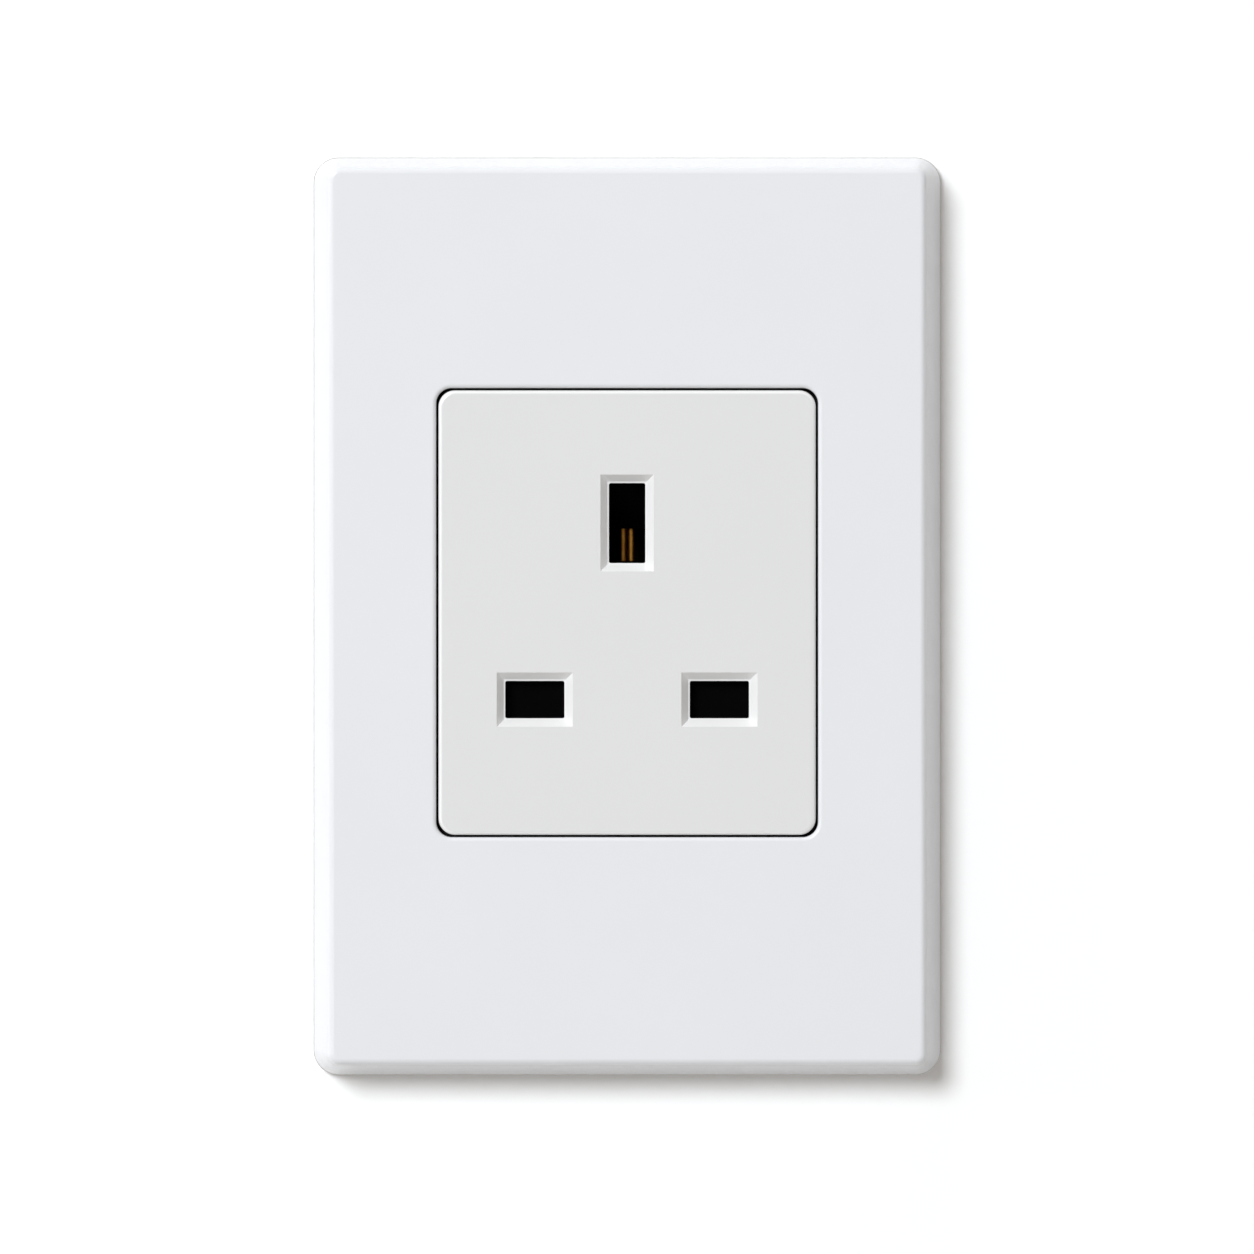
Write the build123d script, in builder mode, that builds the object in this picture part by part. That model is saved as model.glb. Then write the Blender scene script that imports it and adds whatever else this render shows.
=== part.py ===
from build123d import *
import os

os.makedirs("parts", exist_ok=True)

# Flush wall socket for three flat pins, in a tall clip-on cover plate.
# X is to the right, Y into the wall and Z up. The wall's surface is Y = 0, and the plate's centre is the origin.
# A height is a distance out of the wall towards the room: below zero it lies inside the wall box.

# Clearances
SEAT = 0.1
SLIDE = 0.2
THREAD = 0.05

# Cover plate
PLATE_WIDTH = 76.5
PLATE_HEIGHT = 112.0
PLATE_PROUD = 8.0
PLATE_CORNER = 3.0
PLATE_EDGE = 1.2
PLATE_SIDE_SLOPE = 1.9
PLATE_END_SLOPE = 1.4
PLATE_FACE_CORNER = 1.2
PLATE_ARRIS = 0.8
PLATE_WALL = 1.6
PLATE_SKIN = 2.2
CAVITY_CORNER = 1.2

# Opening in the plate and the lip round it
MODULE_GAP = 0.28
OPENING_CORNER = 1.9
OPENING_EDGE = 0.5
LIP_WALL = 1.4
LIP_GAP = 0.4

# Clip tongues of the plate
CLIP_WIDTH = 8.0
CLIP_THICK = 1.4
CLIP_BARB = 0.6
CLIP_CATCH = 0.5
CLIP_TIP = 0.6
CLIP_FLEX = 0.9
CLIP_X = 22.0
CLIP_Z = 37.5

# Mounting frame
FRAME_DEPTH = 4.0
FRAME_WEB = 2.0
FRAME_RIM = 2.0
FRAME_MARGIN = 0.7
FRAME_CORNER = 2.0
FRAME_RIB = 1.4
COLLAR = 2.4
WINDOW_CLEARANCE = 0.4
WINDOW_CORNER = 1.6
FIXING_SPACING = 83.5
FIXING_HOLE = 4.2
FIXING_ADJUST = 3.0
FIXING_SEAT = 2.4
FIXING_LAND = 1.7

# Fixing screws, M3.5 x 25
FIXING_RADIUS = 1.75
FIXING_LENGTH = 25.0
FIXING_NECK = 2.4
FIXING_NECK_RADIUS = 1.55
FIXING_HEAD_RADIUS = 3.3
FIXING_HEAD = 2.2
DRIVE_WIDTH = 0.9
DRIVE_LENGTH = 4.0
DRIVE_DEPTH = 1.1

# Front housing of the module
MODULE_RISE = 0.44
MODULE_WIDTH = 46.0
MODULE_HEIGHT = 54.2
MODULE_CORNER = 2.0
MODULE_EDGE = 0.5
SHOULDER = 1.2
NECK_CORNER = 1.4
HOUSING_WALL = 1.8
FACE_WALL = 3.0
PARTING = -2.0
HOOK = 1.0
HOOK_LAND = 0.4
HOOK_WIDTH = 6.0
HOOK_Z = 12.0
SLIT = 0.8
SLIT_DEPTH = 4.0

# Plug that the socket takes: flat pins, 22.23 mm apart across and upright
PIN_PITCH = 22.23
PIN_ROW_Z = -10.71
POLE_PIN_WIDTH = 6.35
POLE_PIN_THICK = 3.97
POLE_PIN_LENGTH = 17.7
EARTH_PIN_HEIGHT = 7.92
EARTH_PIN_LENGTH = 22.7
TIP_ROOM = 0.6

# Slots in the face
POLE_SLOT_WIDTH = 7.22
POLE_SLOT_HEIGHT = 4.56
POLE_SLOT_OUT = 0.14
POLE_SLOT_UP = 0.10
EARTH_SLOT_WIDTH = 4.44
EARTH_SLOT_HEIGHT = 9.76
EARTH_SLOT_DOWN = 0.60
SLOT_CORNER = 0.25
SLOT_BEVEL = 1.03
SLOT_BEVEL_DEPTH = 1.2
SLOT_LIP = 0.18
SLOT_LIP_DEPTH = 0.06

# Shutter
SHUTTER_TRAVEL = 5.3
SHUTTER_THICK = 2.6
SHUTTER_COVER = 0.35
SHUTTER_SIDE = 0.6
WEB_HALF = 6.0
WINDOW_HALF = 3.0
WINDOW_ROOM = 0.6
WEDGE_HALF = 3.6
WEDGE_DEPTH = 6.2
WEDGE_TOP = 1.0
GUIDE_WALL = 1.2

# Shutter spring
WIRE = 0.4
COIL_RADIUS = 1.5
COIL_TURNS = 6
COIL_HEIGHT = 1.2
COIL_POCKET = 2.0
COIL_ROOM = 0.2
PEG_RADIUS = 0.8
PEG_LENGTH = 1.2

# Contacts
STRIP = 0.8
JAW_GAP = 0.1
JAW_ROOM = 0.4
JAW_STRAIGHT = 4.2
JAW_BEND = 0.9
LIP_SPREAD = 0.05
LIP_LENGTH = 1.6
LIP_ROUND = 0.3
POLE_MOUTH = 1.2
EARTH_MOUTH = -2.2
POLE_JAW_WIDTH = 5.0
EARTH_JAW_WIDTH = 10.4
TAIL_WIDTH = 2.0
TAIL_GAP = 0.3

# Terminal blocks, their screws and rivets
TERMINAL_DEPTH = 8.0
TERMINAL_GAP = 1.7
TERMINAL_EDGE = 0.3
WIRE_RADIUS = 2.0
WIRE_DEPTH = 3.4
ENTRY_HALF = 2.6
CLAMP_RADIUS = 1.75
CLAMP_LENGTH = 5.0
CLAMP_INSET = 3.0
CLAMP_OPEN = 0.2
CLAMP_SLOT = 0.8
RIVET_RADIUS = 0.7
RIVET_HEAD_RADIUS = 1.1
RIVET_HEAD = 0.5
RIVET_DEPTH = 1.8
RIVET_EDGE = 1.5

# Rear housing
BASE_SKIN = 2.0
PARTITION_GAP = 0.3
PARTITION = 1.3
POCKET_WALL = 1.0
POCKET_DROP = 1.2
REST_WIDTH = 4.0
REST_HEIGHT = 2.6
WELL_GAP = 0.6
WELL_WALL = 1.0

# Assembly screws
BOSS_RADIUS = 3.4
BOSS_INSET = 3.75
SCREW_RADIUS = 1.5
SCREW_LENGTH = 18.0
SCREW_CLEARANCE = 0.2
SCREW_HEAD_RADIUS = 2.6
SCREW_HEAD = 1.9
SCREW_SINK = 2.3
SCREW_HEAD_GAP = 0.3
PILOT_END = 0.6

# Sizes that follow from those above
opening_width = MODULE_WIDTH + 2 * MODULE_GAP
opening_height = MODULE_HEIGHT + 2 * MODULE_GAP
neck_width = MODULE_WIDTH - 2 * SHOULDER
neck_height = MODULE_HEIGHT - 2 * SHOULDER
window_width = neck_width + 2 * WINDOW_CLEARANCE
window_height = neck_height + 2 * WINDOW_CLEARANCE
inner_width = neck_width - 2 * HOUSING_WALL
inner_height = neck_height - 2 * HOUSING_WALL
face_back = PLATE_PROUD - FACE_WALL
boss_x = neck_width / 2 - BOSS_INSET
boss_z = neck_height / 2 - BOSS_INSET

pole_pin_x = PIN_PITCH / 2
earth_pin_z = PIN_ROW_Z + PIN_PITCH
pole_slot_x = pole_pin_x + POLE_SLOT_OUT
pole_slot_z = PIN_ROW_Z + POLE_SLOT_UP
earth_slot_z = earth_pin_z - EARTH_SLOT_DOWN
pole_back = PLATE_PROUD - POLE_PIN_LENGTH - TIP_ROOM
earth_back = PLATE_PROUD - EARTH_PIN_LENGTH - TIP_ROOM

base_floor = earth_back - STRIP - SEAT
base_rear = base_floor - BASE_SKIN

shutter_front = face_back - SLIDE
shutter_back = shutter_front - SHUTTER_THICK
shutter_bottom = pole_slot_z - POLE_SLOT_HEIGHT / 2 - SHUTTER_COVER
bar_top = pole_slot_z + POLE_SLOT_HEIGHT / 2 + SHUTTER_COVER
bar_half = pole_slot_x + POLE_SLOT_WIDTH / 2 + SHUTTER_SIDE
window_bottom = earth_pin_z - EARTH_PIN_HEIGHT / 2 - SHUTTER_TRAVEL - WINDOW_ROOM
ramp_front_z = earth_slot_z + EARTH_SLOT_HEIGHT / 2
ramp_deep_z = earth_pin_z + EARTH_PIN_HEIGHT / 2 + SEAT - SHUTTER_TRAVEL
shutter_top = ramp_front_z + WEDGE_TOP
wedge_end = shutter_front - WEDGE_DEPTH
guide_back = shutter_back + SLIDE
partition_top = shutter_back - SLIDE
partition_x = WEDGE_HALF + PARTITION_GAP + PARTITION / 2

spring_bottom = shutter_top - COIL_POCKET + SEAT / 2
spring_top = inner_height / 2 - SEAT / 2

terminal_end = inner_height / 2 - SEAT
terminal_start = POLE_PIN_THICK / 2 + JAW_ROOM + STRIP + TERMINAL_GAP - PIN_ROW_Z
terminal_length = terminal_end - terminal_start
terminal_inner_x = partition_x + PARTITION / 2 + SEAT
terminal_outer_x = boss_x - BOSS_RADIUS - POCKET_WALL - SEAT
terminal_width = terminal_outer_x - terminal_inner_x
terminal_x = (terminal_inner_x + terminal_outer_x) / 2
clamp_z = terminal_end - CLAMP_INSET
rivet_x = terminal_inner_x + RIVET_EDGE
rivet_z = terminal_start + RIVET_EDGE
tail_half = terminal_width / 2 - TERMINAL_EDGE
head_seat = base_rear + SCREW_SINK


def facing(height, rise=MODULE_RISE):
    """Plane parallel to the wall, seen from the room: its axes are X and Z"""
    return Plane(origin=(0, -height, rise), x_dir=(1, 0, 0), z_dir=(0, -1, 0))


def upright(x):
    """Plane square to the wall and upright: its axes are the height and Z"""
    return Plane(origin=(x, 0, MODULE_RISE), x_dir=(0, -1, 0), z_dir=(-1, 0, 0))


def level(z):
    """Plane square to the wall and level: its axes are X and the height"""
    return Plane(origin=(0, 0, MODULE_RISE + z), x_dir=(1, 0, 0), z_dir=(0, 0, -1))


def plate_inset(height, slope):
    """How far the plate's sloping edge has come in at a height"""
    return slope * max(0.0, height - PLATE_EDGE) / (PLATE_PROUD - PLATE_EDGE)


# Cover plate: a moulded shell with a short upright edge and four sloping sides
cavity_top = PLATE_PROUD - PLATE_SKIN
side_inset = PLATE_WALL + plate_inset(cavity_top, PLATE_SIDE_SLOPE)
end_inset = PLATE_WALL + plate_inset(cavity_top, PLATE_END_SLOPE)
clip_catch = FRAME_DEPTH - FRAME_WEB - SEAT

with BuildPart() as cover_plate:
    with BuildSketch(facing(0, 0)):
        RectangleRounded(PLATE_WIDTH, PLATE_HEIGHT, PLATE_CORNER)
    extrude(amount=PLATE_EDGE)
    with BuildSketch(facing(PLATE_EDGE, 0)):
        RectangleRounded(PLATE_WIDTH, PLATE_HEIGHT, PLATE_CORNER)
    with BuildSketch(facing(PLATE_PROUD, 0)):
        RectangleRounded(
            PLATE_WIDTH - 2 * PLATE_SIDE_SLOPE,
            PLATE_HEIGHT - 2 * PLATE_END_SLOPE,
            PLATE_FACE_CORNER,
        )
    loft()
    fillet(cover_plate.faces().sort_by(Axis.Y)[0].edges(), PLATE_ARRIS)

    with BuildSketch(facing(0, 0)):
        RectangleRounded(PLATE_WIDTH - 2 * PLATE_WALL, PLATE_HEIGHT - 2 * PLATE_WALL, CAVITY_CORNER)
    with BuildSketch(facing(cavity_top, 0)):
        RectangleRounded(PLATE_WIDTH - 2 * side_inset, PLATE_HEIGHT - 2 * end_inset, CAVITY_CORNER)
    loft(mode=Mode.SUBTRACT)

    with BuildSketch(facing(cavity_top)):
        RectangleRounded(
            opening_width + 2 * LIP_WALL, opening_height + 2 * LIP_WALL, OPENING_CORNER + LIP_WALL
        )
    extrude(amount=FRAME_DEPTH + LIP_GAP - cavity_top)
    with BuildSketch(facing(PLATE_PROUD)):
        RectangleRounded(opening_width, opening_height, OPENING_CORNER)
    extrude(amount=-PLATE_PROUD, mode=Mode.SUBTRACT)
    fillet(cover_plate.faces().sort_by(Axis.Y)[0].inner_wires()[0].edges(), OPENING_EDGE)

    for side in (-1, 1):
        for end in (-1, 1):
            with BuildSketch(Plane(origin=(side * CLIP_X, 0, 0), x_dir=(0, -1, 0), z_dir=(-1, 0, 0))):
                with BuildLine():
                    Polyline(
                        (cavity_top, end * (CLIP_Z - CLIP_THICK / 2)),
                        (cavity_top, end * (CLIP_Z + CLIP_THICK / 2)),
                        (clip_catch, end * (CLIP_Z + CLIP_THICK / 2)),
                        (clip_catch, end * (CLIP_Z + CLIP_THICK / 2 + CLIP_BARB)),
                        (clip_catch - CLIP_CATCH, end * (CLIP_Z + CLIP_THICK / 2 + CLIP_BARB)),
                        (CLIP_TIP, end * CLIP_Z),
                        (CLIP_TIP, end * (CLIP_Z - CLIP_THICK / 2)),
                        close=True,
                    )
                make_face()
            extrude(amount=CLIP_WIDTH / 2, both=True)

cover_plate.part.label = "cover_plate"
export_step(cover_plate.part, "parts/cover_plate.step")


# Mounting frame: a moulded frame with a hollow back, screwed to the wall box, that carries module and plate
frame_side = PLATE_WALL + plate_inset(FRAME_DEPTH, PLATE_SIDE_SLOPE) + FRAME_MARGIN
frame_end = PLATE_WALL + plate_inset(FRAME_DEPTH, PLATE_END_SLOPE) + FRAME_MARGIN
frame_width = PLATE_WIDTH - 2 * frame_side
frame_height = PLATE_HEIGHT - 2 * frame_end
recess_width = 2 * FIXING_HEAD_RADIUS + 2 * SEAT + FIXING_ADJUST
recess_height = 2 * FIXING_HEAD_RADIUS + 2 * SEAT
clip_slot_height = CLIP_THICK + CLIP_FLEX + SEAT

with BuildPart() as mounting_frame:
    with BuildSketch(facing(0, 0)):
        RectangleRounded(frame_width, frame_height, FRAME_CORNER)
    extrude(amount=FRAME_DEPTH)
    with BuildSketch(facing(0, 0)):
        RectangleRounded(frame_width - 2 * FRAME_RIM, frame_height - 2 * FRAME_RIM, FRAME_CORNER)
        with Locations((0, MODULE_RISE)):
            Rectangle(window_width + 2 * COLLAR, window_height + 2 * COLLAR, mode=Mode.SUBTRACT)
            Rectangle(FRAME_RIB, PLATE_HEIGHT, mode=Mode.SUBTRACT)
            Rectangle(PLATE_WIDTH, FRAME_RIB, mode=Mode.SUBTRACT)
        with GridLocations(0, FIXING_SPACING, 1, 2):
            SlotOverall(recess_width + 2 * FIXING_LAND, recess_height + 2 * FIXING_LAND, mode=Mode.SUBTRACT)
            Rectangle(PLATE_WIDTH, FRAME_RIB, mode=Mode.SUBTRACT)
    extrude(amount=FRAME_DEPTH - FRAME_WEB, mode=Mode.SUBTRACT)

    with BuildSketch(facing(0)):
        RectangleRounded(window_width, window_height, WINDOW_CORNER)
    extrude(amount=FRAME_DEPTH, mode=Mode.SUBTRACT)

    with BuildSketch(facing(0, 0)):
        with GridLocations(0, FIXING_SPACING, 1, 2):
            SlotOverall(FIXING_HOLE + FIXING_ADJUST, FIXING_HOLE)
    extrude(amount=FRAME_DEPTH, mode=Mode.SUBTRACT)
    with BuildSketch(facing(FIXING_SEAT, 0)):
        with GridLocations(0, FIXING_SPACING, 1, 2):
            SlotOverall(recess_width, recess_height)
    extrude(amount=FRAME_DEPTH - FIXING_SEAT, mode=Mode.SUBTRACT)

    with BuildSketch(facing(0, 0)):
        for end in (-1, 1):
            clip_slot_z = CLIP_Z + CLIP_THICK / 2 + SEAT - clip_slot_height / 2
            with Locations((-CLIP_X, end * clip_slot_z), (CLIP_X, end * clip_slot_z)):
                Rectangle(CLIP_WIDTH + 2 * SLIDE, clip_slot_height)
    extrude(amount=FRAME_DEPTH, mode=Mode.SUBTRACT)

mounting_frame.part.label = "mounting_frame"
export_step(mounting_frame.part, "parts/mounting_frame.step")


# Fixing screws: machine screws with a round head and a cross drive, into the wall box's lugs
for name, end in (("fixing_screw_top", 1), ("fixing_screw_bottom", -1)):
    with BuildPart() as fixing_screw:
        with BuildSketch(facing(FIXING_SEAT, end * FIXING_SPACING / 2)):
            Circle(FIXING_HEAD_RADIUS)
        extrude(amount=FIXING_HEAD)
        fillet(fixing_screw.faces().sort_by(Axis.Y)[0].edges(), FIXING_HEAD / 2)
        with BuildSketch(facing(FIXING_SEAT, end * FIXING_SPACING / 2)):
            Circle(FIXING_NECK_RADIUS)
        extrude(amount=-FIXING_NECK)
        with BuildSketch(facing(FIXING_SEAT - FIXING_NECK, end * FIXING_SPACING / 2)):
            Circle(FIXING_RADIUS)
        extrude(amount=FIXING_NECK - FIXING_LENGTH)
        chamfer(fixing_screw.faces().sort_by(Axis.Y)[-1].edges(), FIXING_RADIUS / 3)
        with BuildSketch(facing(FIXING_SEAT + FIXING_HEAD, end * FIXING_SPACING / 2)):
            Rectangle(DRIVE_LENGTH, DRIVE_WIDTH)
            Rectangle(DRIVE_WIDTH, DRIVE_LENGTH)
        extrude(amount=-DRIVE_DEPTH, mode=Mode.SUBTRACT)
    fixing_screw.part.label = name
    export_step(fixing_screw.part, f"parts/{name}.step")


# Front housing: face with three bevelled slots, a shoulder that sits on the frame, and a neck through its window
slots = (
    (pole_slot_x, pole_slot_z, POLE_SLOT_WIDTH, POLE_SLOT_HEIGHT),
    (-pole_slot_x, pole_slot_z, POLE_SLOT_WIDTH, POLE_SLOT_HEIGHT),
    (0, earth_slot_z, EARTH_SLOT_WIDTH, EARTH_SLOT_HEIGHT),
)
bevel_steps = (
    (PLATE_PROUD, SLOT_BEVEL),
    (PLATE_PROUD - SLOT_BEVEL_DEPTH, SLOT_LIP),
    (PLATE_PROUD - SLOT_BEVEL_DEPTH - SLOT_LIP_DEPTH, 0),
)
guide_depth = face_back - guide_back
web_guide_start = bar_top + SHUTTER_TRAVEL + SLIDE
web_guide_end = shutter_top + SHUTTER_TRAVEL
stop_z = shutter_bottom - SEAT - GUIDE_WALL / 2
end_guide_height = bar_top + SHUTTER_TRAVEL - shutter_bottom

with BuildPart() as socket_face:
    with BuildSketch(facing(FRAME_DEPTH)):
        RectangleRounded(MODULE_WIDTH, MODULE_HEIGHT, MODULE_CORNER)
    extrude(amount=PLATE_PROUD - FRAME_DEPTH)
    fillet(socket_face.faces().sort_by(Axis.Y)[0].edges(), MODULE_EDGE)
    with BuildSketch(facing(PARTING)):
        RectangleRounded(neck_width, neck_height, NECK_CORNER)
    extrude(amount=FRAME_DEPTH - PARTING)
    with BuildSketch(facing(PARTING)):
        Rectangle(inner_width, inner_height)
    extrude(amount=face_back - PARTING, mode=Mode.SUBTRACT)

    for x, z, width, height in slots:
        for (outer, spread), (inner, next_spread) in zip(bevel_steps, bevel_steps[1:]):
            with BuildSketch(facing(outer)):
                with Locations((x, z)):
                    Rectangle(width + 2 * spread, height + 2 * spread)
            with BuildSketch(facing(inner)):
                with Locations((x, z)):
                    Rectangle(width + 2 * next_spread, height + 2 * next_spread)
            loft(mode=Mode.SUBTRACT)
        with BuildSketch(facing(PLATE_PROUD)):
            with Locations((x, z)):
                RectangleRounded(width, height, SLOT_CORNER)
        extrude(amount=-FACE_WALL, mode=Mode.SUBTRACT)

    with BuildSketch(facing(guide_back)):
        for side in (-1, 1):
            with Locations((side * (WEB_HALF + SLIDE + GUIDE_WALL / 2), (web_guide_start + web_guide_end) / 2)):
                Rectangle(GUIDE_WALL, web_guide_end - web_guide_start)
            with Locations((side * (bar_half + SLIDE + GUIDE_WALL / 2), shutter_bottom + end_guide_height / 2)):
                Rectangle(GUIDE_WALL, end_guide_height)
        with Locations((0, stop_z)):
            Rectangle(2 * bar_half, GUIDE_WALL)
    extrude(amount=guide_depth)

    with BuildSketch(facing(pole_back + TERMINAL_DEPTH + SEAT)):
        with Locations((-terminal_x, -clamp_z), (terminal_x, -clamp_z)):
            Rectangle(terminal_width - 2 * GUIDE_WALL, GUIDE_WALL)
    extrude(amount=face_back - pole_back - TERMINAL_DEPTH - SEAT)
    with BuildSketch(facing(earth_back + TERMINAL_DEPTH + SEAT)):
        with Locations((terminal_x, clamp_z)):
            Rectangle(terminal_width - 2 * GUIDE_WALL, GUIDE_WALL)
    extrude(amount=face_back - earth_back - TERMINAL_DEPTH - SEAT)

    with BuildSketch(level(inner_height / 2 - PEG_LENGTH)):
        with Locations((0, COIL_HEIGHT)):
            Circle(PEG_RADIUS)
    extrude(amount=-PEG_LENGTH)

    with BuildSketch(facing(PARTING)):
        with GridLocations(2 * boss_x, 2 * boss_z, 2, 2):
            Circle(BOSS_RADIUS)
    extrude(amount=face_back - PARTING)
    with BuildSketch(facing(PARTING)):
        with GridLocations(2 * boss_x, 2 * boss_z, 2, 2):
            Circle(SCREW_RADIUS + THREAD)
    extrude(amount=head_seat + SCREW_LENGTH + PILOT_END - PARTING, mode=Mode.SUBTRACT)

    for side in (-1, 1):
        for z in (-HOOK_Z, HOOK_Z):
            with BuildSketch(level(z)):
                with BuildLine():
                    Polyline(
                        (side * neck_width / 2, -SEAT),
                        (side * (neck_width / 2 + HOOK), -SEAT),
                        (side * (neck_width / 2 + HOOK), -SEAT - HOOK_LAND),
                        (side * neck_width / 2, PARTING + SEAT),
                        close=True,
                    )
                make_face()
            extrude(amount=HOOK_WIDTH / 2, both=True)
            with BuildSketch(facing(PARTING)):
                with Locations((side * (neck_width - HOUSING_WALL) / 2, z)):
                    with GridLocations(0, HOOK_WIDTH + SLIT, 1, 2):
                        Rectangle(HOUSING_WALL, SLIT)
            extrude(amount=SLIT_DEPTH, mode=Mode.SUBTRACT)

socket_face.part.label = "socket_face"
export_step(socket_face.part, "parts/socket_face.step")


# Shutter: a bar behind the line and neutral slots, a web with a window, and a ramp that the earth pin lifts
with BuildPart() as shutter:
    with BuildSketch(facing(shutter_back)):
        with Locations((0, (shutter_bottom + bar_top) / 2)):
            Rectangle(2 * bar_half, bar_top - shutter_bottom)
        with Locations((0, (shutter_bottom + shutter_top) / 2)):
            Rectangle(2 * WEB_HALF, shutter_top - shutter_bottom)
        with Locations((0, (window_bottom + shutter_top) / 2)):
            Rectangle(2 * WINDOW_HALF, shutter_top - window_bottom, mode=Mode.SUBTRACT)
    extrude(amount=SHUTTER_THICK)
    with BuildSketch(upright(0)):
        with BuildLine():
            Polyline(
                (shutter_front, ramp_front_z),
                (wedge_end, ramp_deep_z),
                (wedge_end, shutter_top),
                (shutter_front, shutter_top),
                close=True,
            )
        make_face()
    extrude(amount=WEDGE_HALF, both=True)
    with BuildSketch(level(shutter_top)):
        with Locations((0, COIL_HEIGHT)):
            Circle(COIL_RADIUS + WIRE / 2 + COIL_ROOM)
    extrude(amount=COIL_POCKET, mode=Mode.SUBTRACT)

shutter.part.label = "shutter"
export_step(shutter.part, "parts/shutter.step")


# Shutter spring: a coil between the pocket in the ramp and the top wall of the face
coil_length = spring_top - spring_bottom - WIRE
coil_base = MODULE_RISE + spring_bottom + WIRE / 2

with BuildPart() as shutter_spring:
    with BuildLine(Plane(origin=(0, -COIL_HEIGHT, coil_base))) as coil:
        Helix(pitch=coil_length / COIL_TURNS, height=coil_length, radius=COIL_RADIUS)
    with BuildSketch(Plane(origin=coil.line @ 0, z_dir=coil.line % 0)):
        Circle(WIRE / 2)
    sweep(path=coil.line, is_frenet=True)

shutter_spring.part.label = "shutter_spring"
export_step(shutter_spring.part, "parts/shutter_spring.step")


def jaw_points(thick, back, mouth):
    """Middle line of a folded strip, from one flared lip round the back to the other"""
    arm = thick / 2 + JAW_ROOM + STRIP / 2
    pinch = JAW_GAP / 2 + STRIP / 2
    lip = pinch + LIP_SPREAD
    half = [
        (arm, back - STRIP / 2),
        (arm, back + JAW_STRAIGHT),
        (pinch, mouth - LIP_LENGTH),
        (lip, mouth),
    ]
    return [(-across, height) for across, height in reversed(half)] + half


# Line and neutral contacts: brass strip folded into jaws above and below the pin, with a tail to the terminal
for name, side in (("line", 1), ("neutral", -1)):
    tail_x = side * (pole_pin_x - POLE_JAW_WIDTH / 2 - TAIL_GAP - TAIL_WIDTH / 2)
    ledge_half = POLE_PIN_THICK / 2 + JAW_ROOM - JAW_BEND
    with BuildPart() as contact:
        with BuildSketch(upright(side * pole_pin_x)):
            with BuildLine():
                FilletPolyline(
                    *[
                        (height, PIN_ROW_Z + across)
                        for across, height in jaw_points(POLE_PIN_THICK, pole_back, POLE_MOUTH)
                    ],
                    radius=JAW_BEND,
                )
            trace(line_width=STRIP)
        extrude(amount=POLE_JAW_WIDTH / 2, both=True)
        fillet(contact.edges().filter_by(Axis.X).sort_by(Axis.Y)[:4], LIP_ROUND)
        with BuildSketch(facing(pole_back)):
            with Locations(((tail_x + side * pole_pin_x) / 2, PIN_ROW_Z)):
                Rectangle(abs(side * pole_pin_x - tail_x) + TAIL_WIDTH, 2 * ledge_half)
            with Locations((tail_x, (PIN_ROW_Z + ledge_half - clamp_z) / 2)):
                Rectangle(TAIL_WIDTH, PIN_ROW_Z + ledge_half + clamp_z)
            with Locations((side * terminal_x, -(terminal_start + terminal_end) / 2)):
                Rectangle(2 * tail_half, terminal_length - 2 * TERMINAL_EDGE)
            with Locations((side * terminal_x, -clamp_z)):
                Circle(CLAMP_RADIUS + SLIDE, mode=Mode.SUBTRACT)
            with Locations((side * rivet_x, -rivet_z)):
                Circle(RIVET_RADIUS + THREAD, mode=Mode.SUBTRACT)
        extrude(amount=-STRIP)
    contact.part.label = f"{name}_contact"
    export_step(contact.part, f"parts/{name}_contact.step")


# Earth contact: brass strip folded into jaws on either side of the pin, with a flat tail to its terminal
earth_ledge_half = POLE_PIN_THICK / 2 + JAW_ROOM - JAW_BEND
tail_end_x = terminal_x + tail_half

with BuildPart() as earth_contact:
    with BuildSketch(level(earth_pin_z)):
        with BuildLine():
            FilletPolyline(*jaw_points(POLE_PIN_THICK, earth_back, EARTH_MOUTH), radius=JAW_BEND)
        trace(line_width=STRIP)
    extrude(amount=EARTH_JAW_WIDTH / 2, both=True)
    fillet(earth_contact.edges().filter_by(Axis.Z).sort_by(Axis.Y)[:4], LIP_ROUND)
    with BuildSketch(facing(earth_back)):
        with Locations((0, (earth_pin_z + terminal_end - TERMINAL_EDGE) / 2)):
            Rectangle(2 * earth_ledge_half, terminal_end - TERMINAL_EDGE - earth_pin_z)
        with Locations(((tail_end_x - earth_ledge_half) / 2, (terminal_start + terminal_end) / 2)):
            Rectangle(tail_end_x + earth_ledge_half, terminal_length - 2 * TERMINAL_EDGE)
        with Locations((terminal_x, clamp_z)):
            Circle(CLAMP_RADIUS + SLIDE, mode=Mode.SUBTRACT)
        with Locations((rivet_x, rivet_z)):
            Circle(RIVET_RADIUS + THREAD, mode=Mode.SUBTRACT)
    extrude(amount=-STRIP)

earth_contact.part.label = "earth_contact"
export_step(earth_contact.part, "parts/earth_contact.step")


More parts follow.
